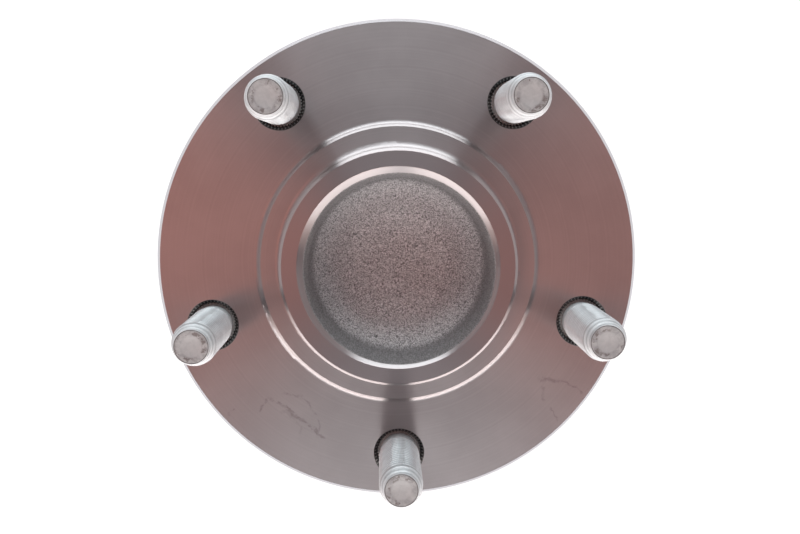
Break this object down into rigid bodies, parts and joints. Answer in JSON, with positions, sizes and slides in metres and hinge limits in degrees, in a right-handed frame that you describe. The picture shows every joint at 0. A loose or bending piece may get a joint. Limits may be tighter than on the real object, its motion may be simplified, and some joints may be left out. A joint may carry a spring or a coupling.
{
  "type": "wheel hub bearing",
  "caption": "Flanged wheel hub with pressed-in studs and a closed pilot, turning on a sealed double row ball bearing in a flanged outer ring that bolts to the knuckle.",
  "frame": {"origin": "on the spin axis, in the plane of the flange face that the brake disc sits on, at the centre of the stud circle", "axes": "+Z along the spin axis, outboard towards the wheel; -Y towards one of the wheel studs"},
  "size_m": [0.14, 0.14, 0.1028],
  "materials": {
    "turned_steel": "turned bright steel with fine concentric tool marks, rough forged skin inside the pilot's cup",
    "forged_steel": "dark forged skin with machined faces",
    "ground_steel": "ground bearing steel",
    "ball_steel": "polished bearing balls",
    "coated_stud": "silver-grey zinc flake coating",
    "pressed_steel": "pressed sheet steel",
    "plated_cap": "zinc-plated pressed sheet",
    "seal_rubber": "black nitrile rubber",
    "magnet_rubber": "dark brown magnetised rubber",
    "cage_nylon": "glass-filled nylon"
  },
  "bodies": {
    "fixed_ring": {"outer_ring": "forged_steel", "seal_case": "pressed_steel", "seal_lips": "seal_rubber", "end_cap": "plated_cap"},
    "hub": {"hub_flange": "turned_steel", "wheel_stud_1": "coated_stud", "wheel_stud_2": "coated_stud", "wheel_stud_3": "coated_stud", "wheel_stud_4": "coated_stud", "wheel_stud_5": "coated_stud", "inner_ring": "ground_steel", "encoder_carrier": "pressed_steel", "encoder_magnet": "magnet_rubber"},
    "outboard_balls": {"cage_outboard": "cage_nylon", "ball_outboard_01": "ball_steel", "ball_outboard_02": "ball_steel", "ball_outboard_03": "ball_steel", "ball_outboard_04": "ball_steel", "ball_outboard_05": "ball_steel", "ball_outboard_06": "ball_steel", "ball_outboard_07": "ball_steel", "ball_outboard_08": "ball_steel", "ball_outboard_09": "ball_steel", "ball_outboard_10": "ball_steel", "ball_outboard_11": "ball_steel", "ball_outboard_12": "ball_steel"},
    "inboard_balls": {"cage_inboard": "cage_nylon", "ball_inboard_01": "ball_steel", "ball_inboard_02": "ball_steel", "ball_inboard_03": "ball_steel", "ball_inboard_04": "ball_steel", "ball_inboard_05": "ball_steel", "ball_inboard_06": "ball_steel", "ball_inboard_07": "ball_steel", "ball_inboard_08": "ball_steel", "ball_inboard_09": "ball_steel", "ball_inboard_10": "ball_steel", "ball_inboard_11": "ball_steel", "ball_inboard_12": "ball_steel"}
  },
  "joints": [
    {"name": "hub_spin", "type": "hinge", "parent": "fixed_ring", "child": "hub", "pos_m": [0, 0, -0.0397], "axis": [0, 0, 1], "continuous": true},
    {"name": "outboard_cage_spin", "type": "hinge", "parent": "fixed_ring", "child": "outboard_balls", "pos_m": [0, 0, -0.0257], "axis": [0, 0, 1], "continuous": true},
    {"name": "inboard_cage_spin", "type": "hinge", "parent": "fixed_ring", "child": "inboard_balls", "pos_m": [0, 0, -0.0537], "axis": [0, 0, 1], "continuous": true}
  ],
  "couplings": [
    {"joint": "outboard_cage_spin", "follows": "hub_spin", "ratio": 0.418},
    {"joint": "inboard_cage_spin", "follows": "hub_spin", "ratio": 0.418}
  ]
}
